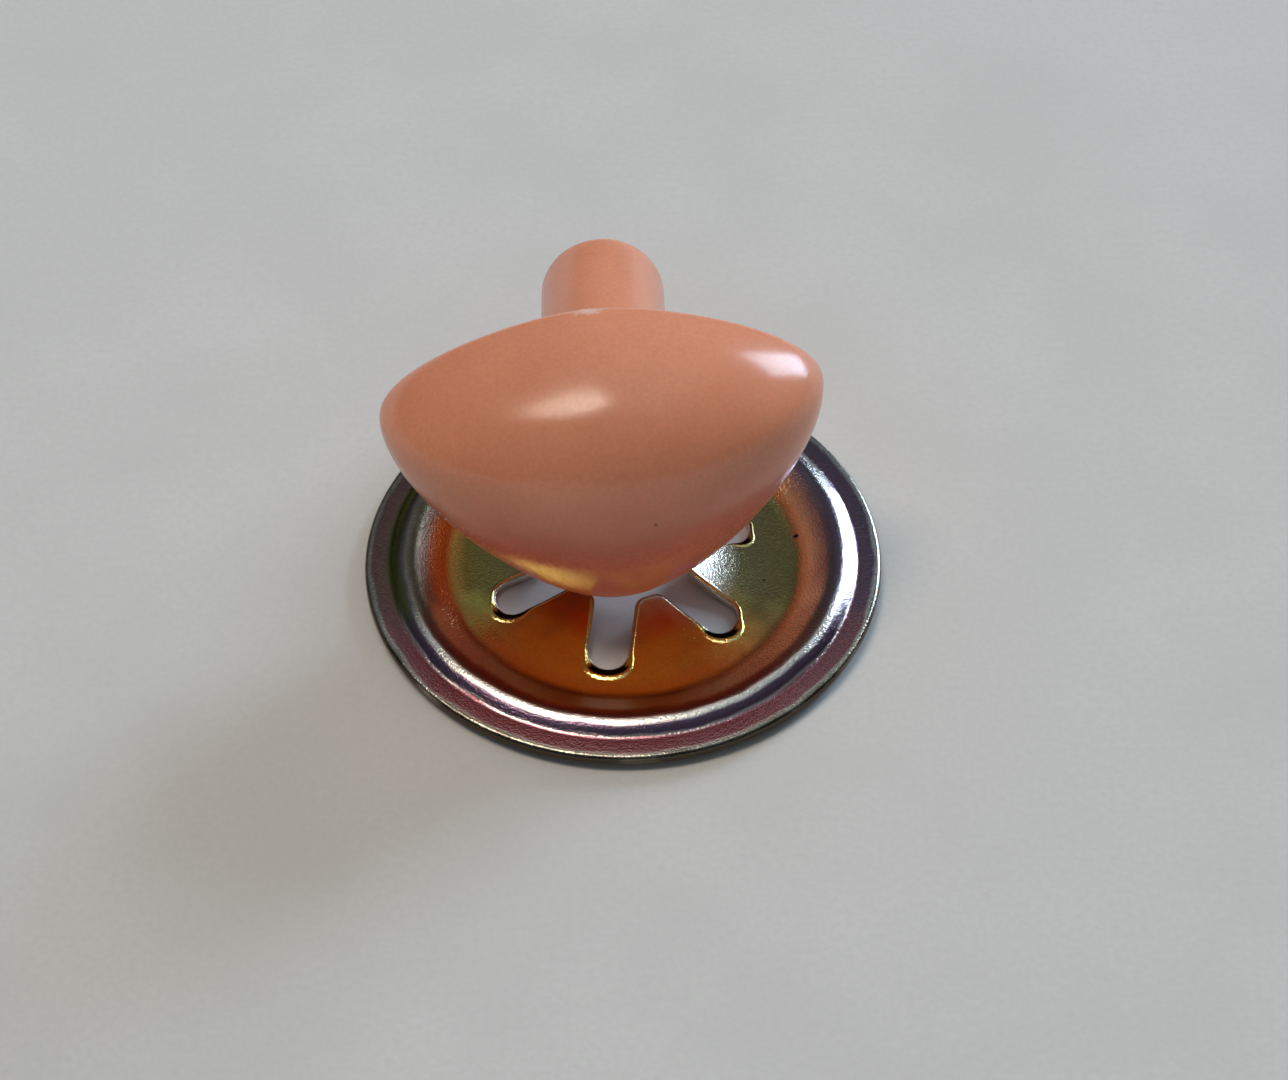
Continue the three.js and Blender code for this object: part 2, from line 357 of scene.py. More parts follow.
def washer_stations(s):
    """The washer's whole section as stations: over the top to the cut edge, and back underneath."""
    middle, land_inner = sheet_middle(s)
    sheet, roll = s.sheet / MM, s.edge_roll / MM
    over, under = sheet_face(middle, sheet / 2), sheet_face(middle, -sheet / 2)
    star = star_outline(s, land_inner)
    count = len(star)
    spoke_turn = [s.first_slot + tau * i / count for i in range(count)]
    into_metal = []
    for i in range(count):
        along = (star[(i + 1) % count] - star[i - 1]).normalized()
        into_metal.append(Vector((along.y, -along.x)))
    web_outer = land_inner + WEB_MARGIN
    # The metal is drawn down further on the front side of each slot's end, where the punch leaned.
    tooth_roll, slot_roll = Vector(s.tooth_roll) / MM, Vector(s.slot_roll) / MM
    rolls = []
    for point, inward in zip(star, into_metal):
        at_end = smooth(1 - (land_inner - SLOT_LIP - point.length) / SLOT_ROLL_REACH)
        in_front = smooth((PUNCH_LEAN[0] - inward.y) / (PUNCH_LEAN[0] - PUNCH_LEAN[1]))
        rolls.append(tooth_roll.lerp(slot_roll, at_end * in_front))

    def ring(radius, height):
        return lambda i: Vector((radius * cos(spoke_turn[i]), radius * sin(spoke_turn[i]), height))

    def web(share, inset=None):
        def point(i):
            inner = star[i] + into_metal[i] * (rolls[i].x if inset is None else inset)
            outer = Vector((cos(spoke_turn[i]), sin(spoke_turn[i]))) * web_outer
            flat = inner.lerp(outer, share)
            return Vector((*flat, height_on(over if inset is None else under, flat.length)))

        return point

    def drawn(share, down):
        def point(i):
            width, drop = rolls[i]
            flat = star[i] + into_metal[i] * (width * (1 - share))
            sunk = drop * drawn_profile(min(1.0, share * width / (width - CUT_EDGE)))
            return Vector((*flat, height_on(over, flat.length) - sunk - down))

        return point

    def cut_edge(across, down):
        return lambda i: drawn(1 - CUT_EDGE * (1 - across) / rolls[i].x, CUT_EDGE * down)(i)

    rim, top, bottom = over[-1].x, over[-1].y, under[-1].y
    stations = [ring(rim - roll + roll * x, top - roll * y) for x, y in reversed(quarter(ROLL_STEPS))]
    stations += [ring(p.x, p.y) for p in reversed(over) if web_outer < p.x < rim - roll]
    stations += [web(1 - k / WEB_STEPS) for k in range(WEB_STEPS)]
    stations += [drawn(k / DRAWN_STEPS * DRAWN_REACH, 0) for k in range(DRAWN_STEPS)]
    stations += [cut_edge(x, y) for x, y in quarter(ROLL_STEPS // 2)]
    stations += [web(k / WEB_STEPS, TEAR_BACK) for k in range(0, WEB_STEPS + 1, 2)]
    stations += [ring(p.x, p.y) for p in under if web_outer < p.x < rim]
    stations += [ring(rim - TEAR_BACK, bottom), ring(rim, bottom + (sheet - roll) * (1 - SHEAR_SHARE))]
    return stations


# Radius in millimetres and colour of the chromate film: near the front, on the left and on the right.
# The film's own colours are mixed with painted light: the near-white bands on the ring's crest, its
# foot and the rim's edge, and on the right-hand wall and teeth, are painted highlights of the lamp and
# the window; the dark plum and olive bands are painted reflections of the dim room.
FILM_AND_SHEEN_NEAR = (
    (3.0, "#f08a5c"), (4.6, "#ee8a4c"), (5.6, "#fcdc70"), (7.4, "#fff684"), (8.3, "#f8d878"),
    (8.7, "#c48e5c"), (9.1, "#ffe0b0"), (9.9, "#ffdcae"), (10.2, "#a87860"), (10.45, "#7a5e54"),
    (10.62, "#8c7468"), (10.72, "#fff6ec"), (10.95, "#f8eee6"), (11.05, "#7c667c"), (11.35, "#6a5468"),
    (11.45, "#d8c4c0"), (11.55, "#a8727a"), (12.3, "#ae7a7e"), (12.42, "#e0d6c4"), (12.66, "#565046"),
)
FILM_AND_SHEEN_LEFT = (
    (3.0, "#9a6a44"), (6.0, "#a0905c"), (7.8, "#a88c4c"), (8.4, "#f0a858"), (9.3, "#e89a5c"),
    (9.8, "#988478"), (10.4, "#7c705a"), (10.7, "#a89a88"), (10.95, "#7a7070"), (11.1, "#7c8048"),
    (11.5, "#767848"), (11.75, "#947068"), (12.3, "#8e6c68"), (12.45, "#b0a498"), (12.66, "#8a8078"),
)
FILM_AND_SHEEN_RIGHT = (
    (3.0, "#ffffff"), (4.6, "#f4ece0"), (5.8, "#a0946c"), (8.45, "#988858"), (8.75, "#c08450"),
    (9.2, "#e8bc8c"), (9.9, "#ae847c"), (10.3, "#78606c"), (10.7, "#8a7c8c"), (10.9, "#ffffff"),
    (11.38, "#fbf8fa"), (11.5, "#8c7484"), (12.2, "#847086"), (12.4, "#dcdad4"), (12.66, "#9a988e"),
)
# Painted light beside a slot, by the slope to the back: a painted yellow glint on the swell's front,
# and a painted near-black reflection where the metal turns down.
PAINTED_EDGE_GLINT_AND_DARK = ((-0.1, -0.24, "#fff0a0"), (0.1, 0.24, "#17120e"))
DRAWN_START = {"From Min": 0.02, "From Max": 0.1}  # share of the drawn metal over which it sets in
BARE_START = {"From Min": 0.86, "From Max": 0.94}  # share over which the cut's edge turns bare
BLOTCH = 2.6  # width of the cloudy patches in the chromate film
RING_DRIFT = 0.1  # how far the patches shift the film's rings
SIDE_DRIFT = 1.6  # how far they shift the borders between front, left and right
SIDE_BORDER = {"From Min": -4.0, "From Max": 4.0}  # from left to right
FRONT_BORDER = {"From Min": -1.0, "From Max": -6.0}  # from the sides to the front
PLATING_GRAIN = 0.1  # the pits are nearer 0.05 mm; drawn coarser so that they show
PLATING_TINTS = ((0.3, "#ddd2cc"), (0.5, "#f6f3f0"), (0.7, "#ffffff"))
PLATING_SHARE = 0.5  # how strongly the pits tint the film
PLATING_GLOSS = {"To Min": 0.06, "To Max": 0.15}
PLATING_PITS = {"Strength": 0.8, "Distance": 2.8e-5}
GRAZING_TINT = "#d8c8c0"  # colour of the film where it is seen along the sheet
SHEET_WAVE = 1.8  # the sheet is never quite flat after stamping
SHEET_DENTS = {"Strength": 0.5, "Distance": 2e-5}
DIRT_SPECKS = (((8.59, 1.53, 0.0), 0.14), ((6.92, -1.29, 0.0), 0.07))  # places and sizes
DIRT_EDGE = (1.6, 1.1)  # in speck sizes, where a speck fades out and where it is whole
DIRT = "#1c1210"


def drawn_share(tree, s, axes, radius):
    """How far across the drawn metal beside a slot a point lies: 0 where it starts, 1 at the cut."""
    # The turn round the axis is folded onto half a tooth, which gives the distance from the slot. The
    # edge is taken to be wide all round a slot's end, though the metal is drawn wide only in front.
    rings = (s.flange_width + s.wall_run + s.slope_run + s.land_width) / MM
    slot_reach = rim_radius() - rings - SLOT_LIP
    half = s.slot_width / MM / 2
    turn = add(tree, "ShaderNodeMath", {0: axes.outputs["Y"], 1: axes.outputs["X"]}, operation="ARCTAN2")
    from_slot = add(tree, "ShaderNodeMath", {0: turn.outputs[0], 1: s.first_slot}, operation="SUBTRACT")
    folded = add(tree, "ShaderNodeMath", {0: from_slot.outputs[0], 1: pi / s.teeth}, operation="PINGPONG")
    beside = add(tree, "ShaderNodeMath", {0: folded.outputs[0]}, operation="SINE")
    outward = add(tree, "ShaderNodeMath", {0: folded.outputs[0]}, operation="COSINE")
    past = add(
        tree, "ShaderNodeMath", {0: outward.outputs[0], 1: radius, 2: half - slot_reach},
        operation="MULTIPLY_ADD",
    )
    past_end = add(tree, "ShaderNodeMath", {0: past.outputs[0], 1: 0.0}, operation="MAXIMUM")
    aside = add(tree, "ShaderNodeMath", {0: beside.outputs[0], 1: radius}, operation="MULTIPLY")
    offset = add(tree, "ShaderNodeCombineXYZ", {"X": past_end.outputs[0], "Y": aside.outputs[0]})
    reach = add(tree, "ShaderNodeVectorMath", {0: offset.outputs[0]}, operation="LENGTH").outputs["Value"]
    width = add(
        tree, "ShaderNodeMapRange",
        {
            "Value": radius,
            "From Min": slot_reach - SLOT_ROLL_REACH,
            "From Max": slot_reach,
            "To Min": s.tooth_roll[0] / MM,
            "To Max": s.slot_roll[0] / MM,
        },
        interpolation_type="SMOOTHSTEP",
    ).outputs["Result"]
    from_cut = add(tree, "ShaderNodeMath", {0: reach, 1: half}, operation="SUBTRACT")
    across = add(tree, "ShaderNodeMath", {0: from_cut.outputs[0], 1: width}, operation="DIVIDE")
    return add(
        tree, "ShaderNodeMath", {0: 1.0, 1: across.outputs[0]}, operation="SUBTRACT", use_clamp=True
    ).outputs[0]


def chromated_steel(s, centre):
    """Stamped steel, bright zinc plated and yellow chromated."""
    # The film is thinner or thicker in each formed zone, which tints the mirror-like zinc gold,
    # copper, plum and olive; its colours also hold painted highlights and painted dark reflections,
    # which differ at the front, left and right. Fine pits in the plating break its highlights into grains.
    material, tree, shader = new_material("chromated_zinc_on_stamped_steel")
    inner, outer = s.hole / MM, rim_radius()
    place = add(tree, "ShaderNodeTexCoord")
    local = add(
        tree, "ShaderNodeMapping",
        {"Vector": place.outputs["Object"], "Location": centre, "Scale": (MM, MM, MM)},
        vector_type="TEXTURE",
    ).outputs["Vector"]
    axes = add(tree, "ShaderNodeSeparateXYZ", {"Vector": local})
    flat = add(tree, "ShaderNodeCombineXYZ", {"X": axes.outputs["X"], "Y": axes.outputs["Y"]})
    radius = add(tree, "ShaderNodeVectorMath", {0: flat.outputs[0]}, operation="LENGTH").outputs["Value"]

    blotch = add(tree, "ShaderNodeTexNoise", {"Vector": local, "Scale": 1 / BLOTCH, "Detail": 2.0})
    swing = add(
        tree, "ShaderNodeMapRange",
        {"Value": blotch.outputs["Fac"], **NOISE_SPAN, "To Min": -1.0, "To Max": 1.0},
        clamp=False,
    ).outputs["Result"]
    band = add(tree, "ShaderNodeMath", {0: swing, 1: RING_DRIFT, 2: radius}, operation="MULTIPLY_ADD")
    share = add(
        tree, "ShaderNodeMapRange", {"Value": band.outputs[0], "From Min": inner, "From Max": outer}
    )
    film_and_sheen_ramps = []
    # Each side's ramp is the film's own colour with painted highlights and painted dark reflections mixed
    # in.
    for stops in (FILM_AND_SHEEN_NEAR, FILM_AND_SHEEN_LEFT, FILM_AND_SHEEN_RIGHT):
        ramp = add(tree, "ShaderNodeValToRGB", {"Fac": share.outputs["Result"]})
        film_and_sheen_ramps.append(set_ramp(ramp, [(max(0.0, (r - inner) / (outer - inner)), c) for r, c in stops]))
    near, left, right = film_and_sheen_ramps
    borders = []
    for axis, border in (("X", SIDE_BORDER), ("Y", FRONT_BORDER)):
        drifted = add(
            tree, "ShaderNodeMath", {0: swing, 1: SIDE_DRIFT, 2: axes.outputs[axis]},
            operation="MULTIPLY_ADD",
        )
        crossed = add(
            tree, "ShaderNodeMapRange", {"Value": drifted.outputs[0], **border},
            interpolation_type="SMOOTHSTEP",
        )
        borders.append(crossed.outputs["Result"])
    to_right, to_front = borders
    sides = add(tree, "ShaderNodeMix", {0: to_right, 6: left, 7: right}, data_type="RGBA").outputs[2]
    film_and_sheen = add(tree, "ShaderNodeMix", {0: to_front, 6: sides, 7: near}, data_type="RGBA").outputs[2]

    drawn = drawn_share(tree, s, axes, radius)
    lean = add(tree, "ShaderNodeSeparateXYZ", {"Vector": place.outputs["Normal"]}).outputs["Y"]
    beside_slot = add(tree, "ShaderNodeMapRange", {"Value": drawn, **DRAWN_START})
    # Mixes in the painted glint and the painted dark reflection beside each slot.
    for low, high, colour in PAINTED_EDGE_GLINT_AND_DARK:
        leaning = add(
            tree, "ShaderNodeMapRange", {"Value": lean, "From Min": low, "From Max": high},
            interpolation_type="SMOOTHSTEP",
        ).outputs["Result"]
        there = add(
            tree, "ShaderNodeMath", {0: leaning, 1: beside_slot.outputs["Result"]}, operation="MULTIPLY"
        ).outputs[0]
        film_and_sheen = add(
            tree, "ShaderNodeMix", {0: there, 6: film_and_sheen, 7: linear(colour)}, data_type="RGBA"
        ).outputs[2]
    bare = add(tree, "ShaderNodeMapRange", {"Value": drawn, **BARE_START}).outputs["Result"]
    film_and_sheen = add(
        tree, "ShaderNodeMix", {0: bare, 6: film_and_sheen, 7: tuple(s.bare_zinc)}, data_type="RGBA"
    ).outputs[2]

    grain = add(tree, "ShaderNodeTexNoise", {"Vector": local, "Scale": 1 / PLATING_GRAIN, "Detail": 3.0})
    tints = set_ramp(add(tree, "ShaderNodeValToRGB", {"Fac": grain.outputs["Fac"]}), PLATING_TINTS)
    film_and_sheen = add(
        tree, "ShaderNodeMix", {0: PLATING_SHARE, 6: film_and_sheen, 7: tints},
        data_type="RGBA", blend_type="MULTIPLY",
    ).outputs[2]
    for dirt, size in DIRT_SPECKS:
        away = add(tree, "ShaderNodeVectorMath", {0: flat.outputs[0], 1: dirt}, operation="DISTANCE")
        rough_edge = add(
            tree, "ShaderNodeMath", {0: grain.outputs["Fac"], 1: size, 2: away.outputs["Value"]},
            operation="MULTIPLY_ADD",
        )
        spot = add(
            tree, "ShaderNodeMapRange",
            {
                "Value": rough_edge.outputs[0],
                "From Min": size * DIRT_EDGE[0],
                "From Max": size * DIRT_EDGE[1],
            },
        ).outputs["Result"]
        film_and_sheen = add(tree, "ShaderNodeMix", {0: spot, 6: film_and_sheen, 7: linear(DIRT)}, data_type="RGBA").outputs[2]
    tree.links.new(film_and_sheen, shader.inputs["Base Color"])
    shader.inputs["Metallic"].default_value = 1.0
    shader.inputs["Specular Tint"].default_value = linear(GRAZING_TINT)

    gloss = add(tree, "ShaderNodeMapRange", {"Value": grain.outputs["Fac"], **NOISE_SPAN, **PLATING_GLOSS})
    tree.links.new(gloss.outputs["Result"], shader.inputs["Roughness"])
    waves = add(tree, "ShaderNodeTexNoise", {"Vector": local, "Scale": 1 / SHEET_WAVE, "Detail": 1.0})
    dents = add(tree, "ShaderNodeBump", {"Height": waves.outputs["Fac"], **SHEET_DENTS})
    pits = add(
        tree, "ShaderNodeBump",
        {"Height": grain.outputs["Fac"], "Normal": dents.outputs[0], **PLATING_PITS},
    )
    tree.links.new(pits.outputs[0], shader.inputs["Normal"])
    return material


class CRAFTNOSE_OT_lock_washer(bpy.types.Operator):
    """Makes the stamped lock washer with its sprung teeth"""

    bl_idname = "craftnose.lock_washer"
    bl_label = "Lock washer"

    def execute(self, context):
        s = context.scene.craftnose_washer
        low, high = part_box("lock_washer")
        centre = Vector(((low.x + high.x) / 2, (low.y + high.y) / 2, low.z))
        bm = grow_rings(washer_stations(s), s.spokes, closed=True)
        place = Matrix.Translation(centre) @ Matrix.Scale(MM, 4)
        washer = finish_piece(bm, "stamped_lock_washer", place, chromated_steel(s, centre), CREASE)
        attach(washer, "washer")
        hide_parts("lock_washer")
        return {"FINISHED"}


# ---- nose ----


class NoseSettings(bpy.types.PropertyGroup):
    """Sizes and colour of the nose and its post."""

    width: bpy.props.FloatProperty(
        name="Width", description="Across the dome", default=0.021, unit="LENGTH"
    )
    depth: bpy.props.FloatProperty(
        name="Depth", description="Flat back to the foremost point", default=0.0076, unit="LENGTH"
    )
    top: bpy.props.FloatProperty(
        name="Top", description="Top edge's peak above the post's axis", default=0.0074, unit="LENGTH"
    )
    shoulder: bpy.props.FloatProperty(
        name="Shoulder", description="Rounded corners above the axis", default=0.0027, unit="LENGTH"
    )
    apex: bpy.props.FloatProperty(
        name="Apex", description="Foremost point above the post's axis", default=0.0015, unit="LENGTH"
    )
    tip: bpy.props.FloatProperty(
        name="Tip", description="Bottom tip below the post's axis", default=0.00735, unit="LENGTH"
    )
    back_edge: bpy.props.FloatProperty(
        name="Back edge", description="Rounding between dome and back", default=0.0005, unit="LENGTH"
    )
    post_diameter: bpy.props.FloatProperty(
        name="Post diameter", description="Across the post", default=0.00635, unit="LENGTH"
    )
    post_length: bpy.props.FloatProperty(
        name="Post length", description="Flat back to the post's end", default=0.0159, unit="LENGTH"
    )
    post_edge: bpy.props.FloatProperty(
        name="Post edge", description="Rounding of the post's end", default=0.0006, unit="LENGTH"
    )
    post_fillet: bpy.props.FloatProperty(
        name="Post fillet", description="Radius at the post's root", default=0.0005, unit="LENGTH"
    )
    tilt: bpy.props.FloatProperty(
        name="Tilt", description="Slope of the post down behind", default=radians(-16), unit="ROTATION"
    )
    roll: bpy.props.FloatProperty(
        name="Roll", description="Turn about the post", default=radians(-4.7), unit="ROTATION"
    )
    yaw: bpy.props.FloatProperty(
        name="Yaw", description="Turn about the washer's axis", default=radians(0.8), unit="ROTATION"
    )
    plastic: bpy.props.FloatVectorProperty(
        name="Plastic", description="Colour all through the moulding", subtype="COLOR", size=4,
        min=0.0, max=1.0, default=linear("#efa07d"),
    )
    spokes: bpy.props.IntProperty(name="Spokes", description="Steps round the nose", default=256)


PEAK_FULLNESS = 0.3  # share of the half width over which the top edge stays level
SHOULDER_FULLNESS = 0.56  # share of the way up to the peak that a corner stays upright
FLANK_FULLNESS = 0.33  # share of the way down to the tip that a corner stays upright
TIP_FULLNESS = 0.43  # share of the half width over which the tip stays level
CROWN = (10.2, 7.2)  # half axes of the oval that the dome's middle swells from
CROWN_REACH = 0.8  # share of the dome over which that oval turns into the outline
CURVE_STEPS = 60
DOME_STEPS = 52
EDGE_STEPS = 6
BACK_RINGS = 8
POST_RINGS = 14
END_RINGS = (0.94, 0.5, 0.0)  # shares of the post's flat end, from its edge to its middle
NOSE_CREASE = radians(50)
GATE = (-0.27, -0.62, 7.37)  # where the runner was cut from the top edge
GATE_SIZE = (0.85, 0.34, 0.5)
GATE_HEIGHT = 0.11
GATE_LEVEL = 0.55  # mean share of that height that the torn stub reaches
GATE_RIPPLES = ((0.3, 11.0, 0.0), (0.25, 23.0, 17.0))  # share of height, and waves over X and Y
GATE_SCRATCH = 0.22  # width of the scratches that whiten the torn stub
TORN_EDGE = {"From Min": 1.75, "From Max": 1.25, "To Max": 0.6}  # from clear to whitened
TORN_SPREAD = 1.5  # how far the scratches break that edge up
TORN_PLASTIC = "#f3ddd3"
COLOUR_CLOUD = 4.0  # width of the faint clouds in the colour, from uneven mixing
CLOUD_SPAN = {"From Min": 0.35, "From Max": 0.65}
CLOUD_DEPTH = (0.96, 0.92, 0.91, 1.0)  # share of each channel that the deeper clouds keep
MOULD_GRAIN = 0.2  # the mould's satin grain is nearer 0.08 mm; drawn coarser so that it shows
GRAIN_FLECK = {"From Min": 0.35, "From Max": 0.65, "To Max": 0.12}
FLECK = "#a85f4a"
SATIN_GLOSS = {"To Min": 0.17, "To Max": 0.24}
SATIN_SKIN = {"Strength": 0.25, "Distance": 1e-5}
PLASTIC_IOR = 1.49
SCATTER_SHARE = 0.35
SCATTER_COLOURS = (1.0, 0.4, 0.25)  # red light goes furthest under the skin
SCATTER_DEPTH = 1.2
# Height on the dome, from above its middle down to the tip, over which its colour is deepened by
# painted shade and warmed at the tip by painted light reflected up from the washer.
TIP_REACH = (1.5, -7.0)
TIP_SHADE_AND_BOUNCE_TINTS = (
    (0.0, "#ffffff"), (0.2, "#fdeeee"), (0.52, "#f4bcc4"), (0.72, "#f1acb6"), (0.86, "#fad2a8"),
    (1.0, "#ffe2b0"),
)
TIP_DULLNESS = 0.15
MOULD_SPECK = (2.14, -7.17, -0.41)
SPECK_EDGE = {"From Min": 0.13, "From Max": 0.05, "To Max": 0.7}
POST_LINE_PLACE = 13.75  # along the post from the flat back
POST_LINE_SLANT = 0.36  # how far along the post the line runs for each millimetre across it
POST_LINE_WOBBLE = 0.12
POST_LINE_EDGE = {"From Min": 0.18, "From Max": 0.06, "To Max": 0.2}
POST_LINE_GAPS = {"From Min": 0.46, "From Max": 0.6}
DARK_MARK = "#5e2c20"


def cubic(a, b, c, d):
    """Points of a cubic curve."""
    points = []
    for k in range(CURVE_STEPS + 1):
        t = k / CURVE_STEPS
        points.append(a * (1 - t) ** 3 + b * 3 * t * (1 - t) ** 2 + c * 3 * t * t * (1 - t) + d * t**3)
    return points


def nose_outline(s):
    """The nose from the front, with the post's axis at the origin, from the peak round by +X."""
    half, top, tip, shoulder = s.width / MM / 2, s.top / MM, -s.tip / MM, s.shoulder / MM
    upper = shoulder + (top - shoulder) * SHOULDER_FULLNESS
    lower = shoulder - (shoulder - tip) * FLANK_FULLNESS
    corner = Vector((half, shoulder))
    peak, lowest = Vector((0, top)), Vector((0, tip))
    right = cubic(peak, Vector((half * PEAK_FULLNESS, top)), Vector((half, upper)), corner)
    right += cubic(corner, Vector((half, lower)), Vector((half * TIP_FULLNESS, tip)), lowest)
    left = [Vector((-p.x, p.y)) for p in reversed(right)]
    return spaced(right + left[1:], s.spokes + 1)[:-1]


def gate_height(point):
    """Height of the torn stub of plastic that the runner left on the top edge."""
    away = [(point[k] - GATE[k]) / GATE_SIZE[k] for k in range(3)]
    cover = max(0.0, 1 - sum(a * a for a in away))
    torn = GATE_LEVEL + sum(part * sin(point.x * x + point.y * y) for part, x, y in GATE_RIPPLES)
    return GATE_HEIGHT * cover**0.5 * torn


def nose_stations(s):
    """The moulding as stations: from the foremost point over the dome and back to the post's end."""
    apex, depth, edge = s.apex / MM, s.depth / MM, s.back_edge / MM
    radius, length = s.post_diameter / MM / 2, s.post_length / MM
    fillet, end = s.post_fillet / MM, s.post_edge / MM
    edge_share = edge / (s.width / MM / 2)
    rays = [p - Vector((0, apex)) for p in nose_outline(s)]
    ovals = [ray.length / hypot(ray.x / CROWN[0], ray.y / CROWN[1]) for ray in rays]
    turns = [tau * i / s.spokes for i in range(s.spokes)]

    def dome(reach, front):
        blend = smooth(reach / CROWN_REACH)

        def point(i):
            ray = rays[i]
            away = reach * (ovals[i] + (ray.length - ovals[i]) * blend) / ray.length
            place = Vector((ray.x * away, -front, apex + ray.y * away))
            return place + Vector((0, 0, gate_height(place)))

        return point

    def round_post(across, behind):
        return lambda i: Vector((across * sin(turns[i]), behind, across * cos(turns[i])))

    def back(share):
        rim, root = dome(1 - edge_share, 0), round_post(radius + fillet, 0)
        return lambda i: rim(i).lerp(root(i), share)

    stations = []
    for k in range(DOME_STEPS):
        angle = k / DOME_STEPS * pi / 2
        stations.append(dome(sin(angle), edge + (depth - edge) * cos(angle)))
    stations += [dome(1 - edge_share * y, edge * (1 - x)) for x, y in quarter(EDGE_STEPS)]
    stations += [back(k / BACK_RINGS) for k in range(1, BACK_RINGS)]
    stations += [round_post(radius + fillet * (1 - x), fillet * y) for x, y in quarter(EDGE_STEPS)]
    straight = length - end - fillet
    stations += [round_post(radius, fillet + straight * k / POST_RINGS) for k in range(1, POST_RINGS)]
    stations += [round_post(radius - end * y, length - end * (1 - x)) for x, y in quarter(EDGE_STEPS)]
    stations += [round_post((radius - end) * share, length) for share in END_RINGS]
    return stations


